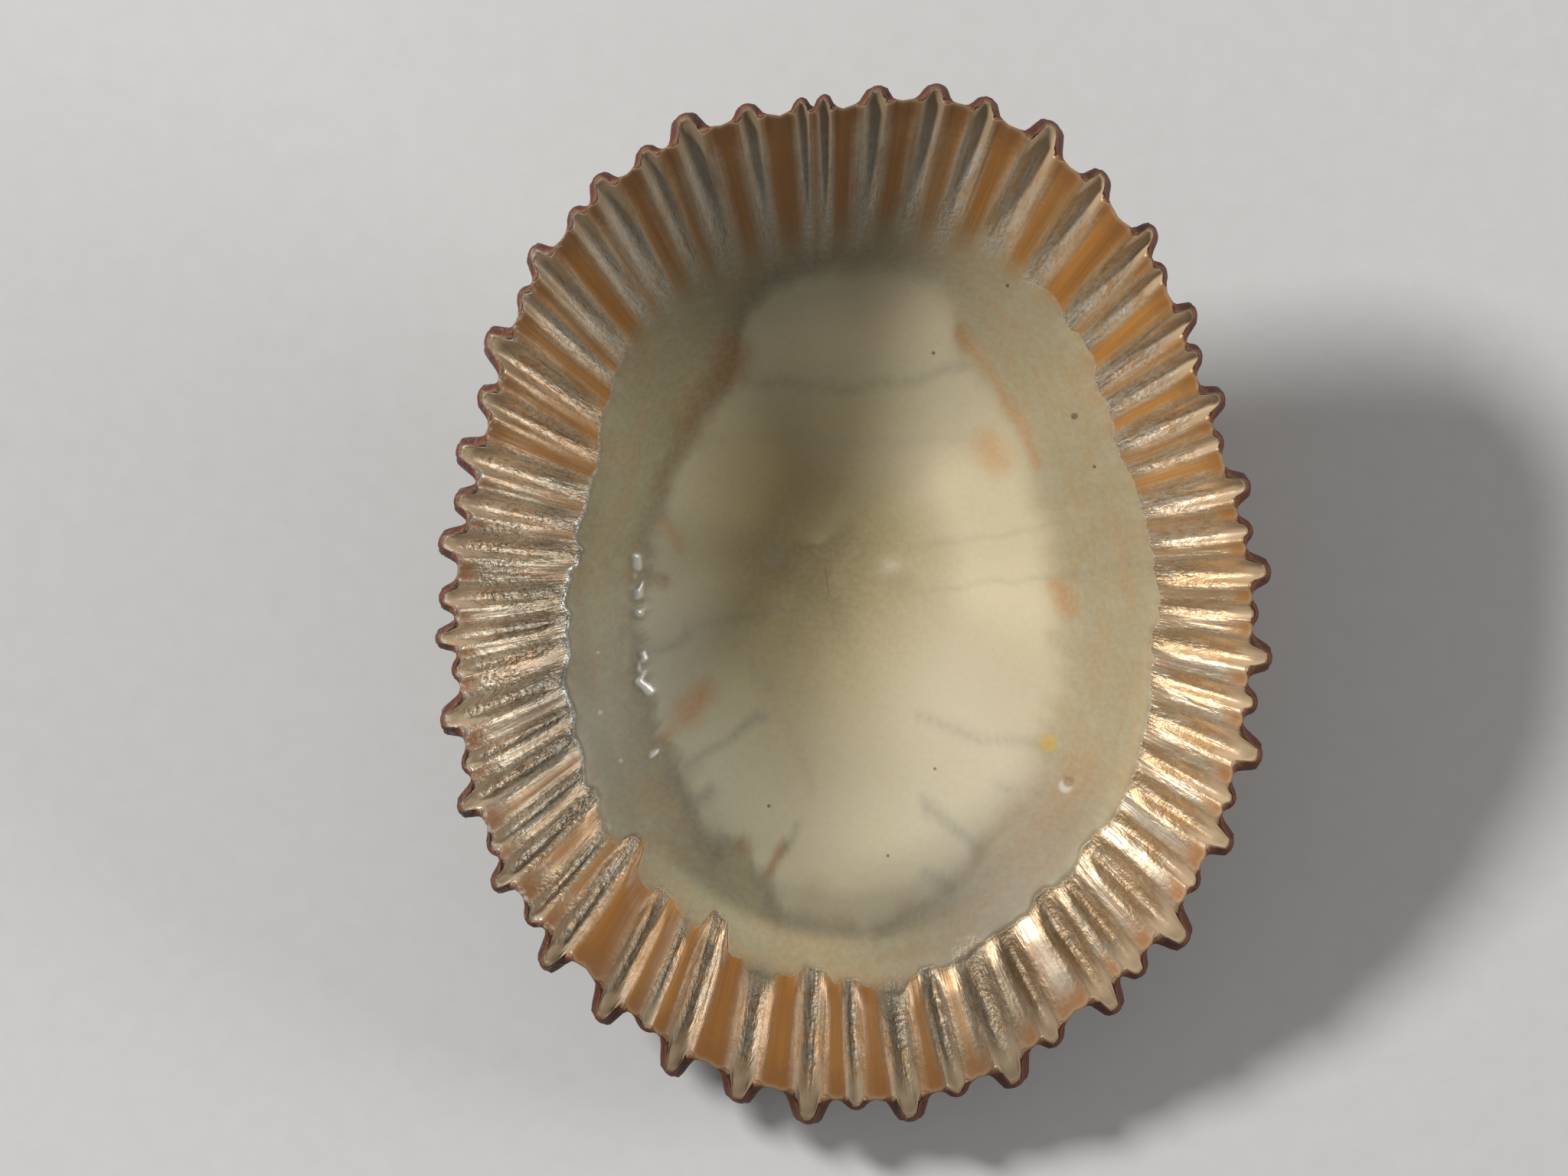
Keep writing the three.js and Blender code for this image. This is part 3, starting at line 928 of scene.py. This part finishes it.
    def outside(self):
        """Dark ribs with straw between them, ringed by growth and worn to chalk towards the apex."""
        rib = self.fade(self.plus(self.off, self.swirl, 0.7), 1.4, 0.85)
        rings = self.cloud(self.stretch(self.spread, (0.1, 0.1, 1.0)), 0.7, 4, 0.6)
        older = self.fade(self.plus(self.share, self.waves, 0.3), 1.0, 0.7)
        bark = self.blend(self.times(self.fade(rings, 0.38, 0.6), older), CHESTNUT, RUSSET)
        outside = self.blend(rib, self.blend(self.fade(rings, 0.4, 0.58), OLIVE, STRAW), bark)
        dark_rings = self.times(self.fade(self.fine_rings, 0.5, 0.32, 0.0, 0.75), older)
        outside = self.blend(dark_rings, outside, UMBER)
        outside = self.blend(self.times(self.fade(self.grain, 0.5, 0.68, 0.0, 0.5), older), outside, STRAW)
        chalky = self.plus(self.plus(self.share, self.swirl, 0.25), self.waves, 0.7)
        chalk = self.blend(self.fade(self.grain, 0.35, 0.65), WORN, CHALK)
        outside = self.blend(self.fade(chalky, 0.48, 0.2), outside, chalk)
        rim = self.blend(self.times(self.fade(self.lip, 0.35, 0.6), rib), RIM_BROWN, CHESTNUT)
        return self.blend(self.fade(self.lip, 0.0, 0.3), outside, rim)

    def gleam(self):
        """The band has a metallic gleam, least at the head end. The rest is satin, and the outside dull."""
        self.bare = self.minus(1.0, self.callus)
        plain = self.most(self.tongue, self.hem)
        self.clear = self.times(self.times(self.bare, self.inside), self.minus(1.0, plain))
        metal = self.times(self.times(self.gloss, self.clear), self.mix(self.head, 0.75, 0.05))
        outer_roughness = self.fade(self.lip, 0.0, 0.3, 0.85, 0.6)
        roughness = self.mix(self.inside, outer_roughness, self.mix(self.enamel_and_glints, 0.46, 0.15))
        coat = self.most(self.enamel_and_glints, self.polished)
        self.give(Metallic=metal, Roughness=roughness, Coat_Weight=coat, Coat_Roughness=0.3, Coat_IOR=1.9)

    def emboss(self):
        """Fibres and crinkles in the band, a faint grain on the lining, and scales outside."""
        satin = self.plus(self.times(self.fine_fibres, 0.06), self.crinkle, self.mix(self.foil, 0.06, 0.26))
        satin = self.plus(satin, self.grain, 0.1)
        satin = self.plus(satin, self.sparkle, 0.05)
        amber = self.times(self.fine_fibres, 0.05)
        band = self.mix(self.times(self.pearl, self.clear), amber, satin)
        hollow = self.mix(self.bare, self.times(self.grain, 0.01), band)
        scaly = self.fade(self.share, 0.15, 0.3, 0.0, 0.45)
        scaly = self.plus(self.times(self.grain, 0.3), self.fine_rings, scaly)
        height = self.mix(self.inside, scaly, hollow)
        bump = self.node("Bump", {"Height": height, "Distance": 0.5 * MM, "Strength": 1.0}).outputs[0]
        self.give(Normal=bump, Coat_Normal=bump)


def floor():
    made = bmesh.new()
    bmesh.ops.create_grid(made, x_segments=2, y_segments=2, size=FLOOR_HALF_WIDTH)
    mesh = bpy.data.meshes.new("floor")
    made.to_mesh(mesh)
    made.free()
    piece = bpy.data.objects.new("floor", mesh)
    bpy.context.scene.collection.objects.link(piece)
    finish = Finish("pale_paper")
    grain = finish.cloud(finish.node("TexCoord").outputs["Object"], 900, 4)
    finish.give(Base_Color=finish.blend(grain, *PAPER), Roughness=0.85)
    mesh.materials.append(finish.material)


def lamp(name, azimuth, elevation, away, size, power):
    light = bpy.data.lights.new(name, "AREA")
    light.shape = "DISK"
    light.size = size
    light.energy = power
    turn, rise = math.radians(azimuth), math.radians(elevation)
    towards = Vector((math.cos(turn) * math.cos(rise), math.sin(turn) * math.cos(rise), math.sin(rise)))
    holder = bpy.data.objects.new(name, light)
    holder.location = towards * away + Vector(LIGHTS_AIM)
    holder.rotation_euler = towards.to_track_quat("Z", "Y").to_euler()
    bpy.context.scene.collection.objects.link(holder)


def studio():
    scene = bpy.context.scene
    scene.view_settings.view_transform = "Standard"
    world = bpy.data.worlds.new("studio")
    world.use_nodes = True
    background = world.node_tree.nodes["Background"]
    background.inputs["Color"].default_value = (1, 1, 1, 1)
    background.inputs["Strength"].default_value = WORLD_STRENGTH
    scene.world = world
    lamp("key", azimuth=150, elevation=38, away=0.6, size=0.115, power=3.1)
    lamp("fill", azimuth=0, elevation=15, away=0.6, size=0.25, power=1.6)
    camera = bpy.data.cameras.new("camera")
    camera.sensor_width = SENSOR_WIDTH
    camera.lens = SENSOR_WIDTH * (CAMERA_PLACE[2] - RIM_HEIGHT * MM) / FRAME_WIDTH
    holder = bpy.data.objects.new("camera", camera)
    holder.location = CAMERA_PLACE
    scene.collection.objects.link(holder)
    scene.camera = holder


def shell():
    mesh = skin_of_rows()
    shape_shell(mesh)
    piece = bpy.data.objects.new("limpet_shell", mesh)
    bpy.context.scene.collection.objects.link(piece)
    mesh.materials.append(ShellFinish().material)
    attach(piece, "root")
    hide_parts("shell")


studio()
floor()
shell()
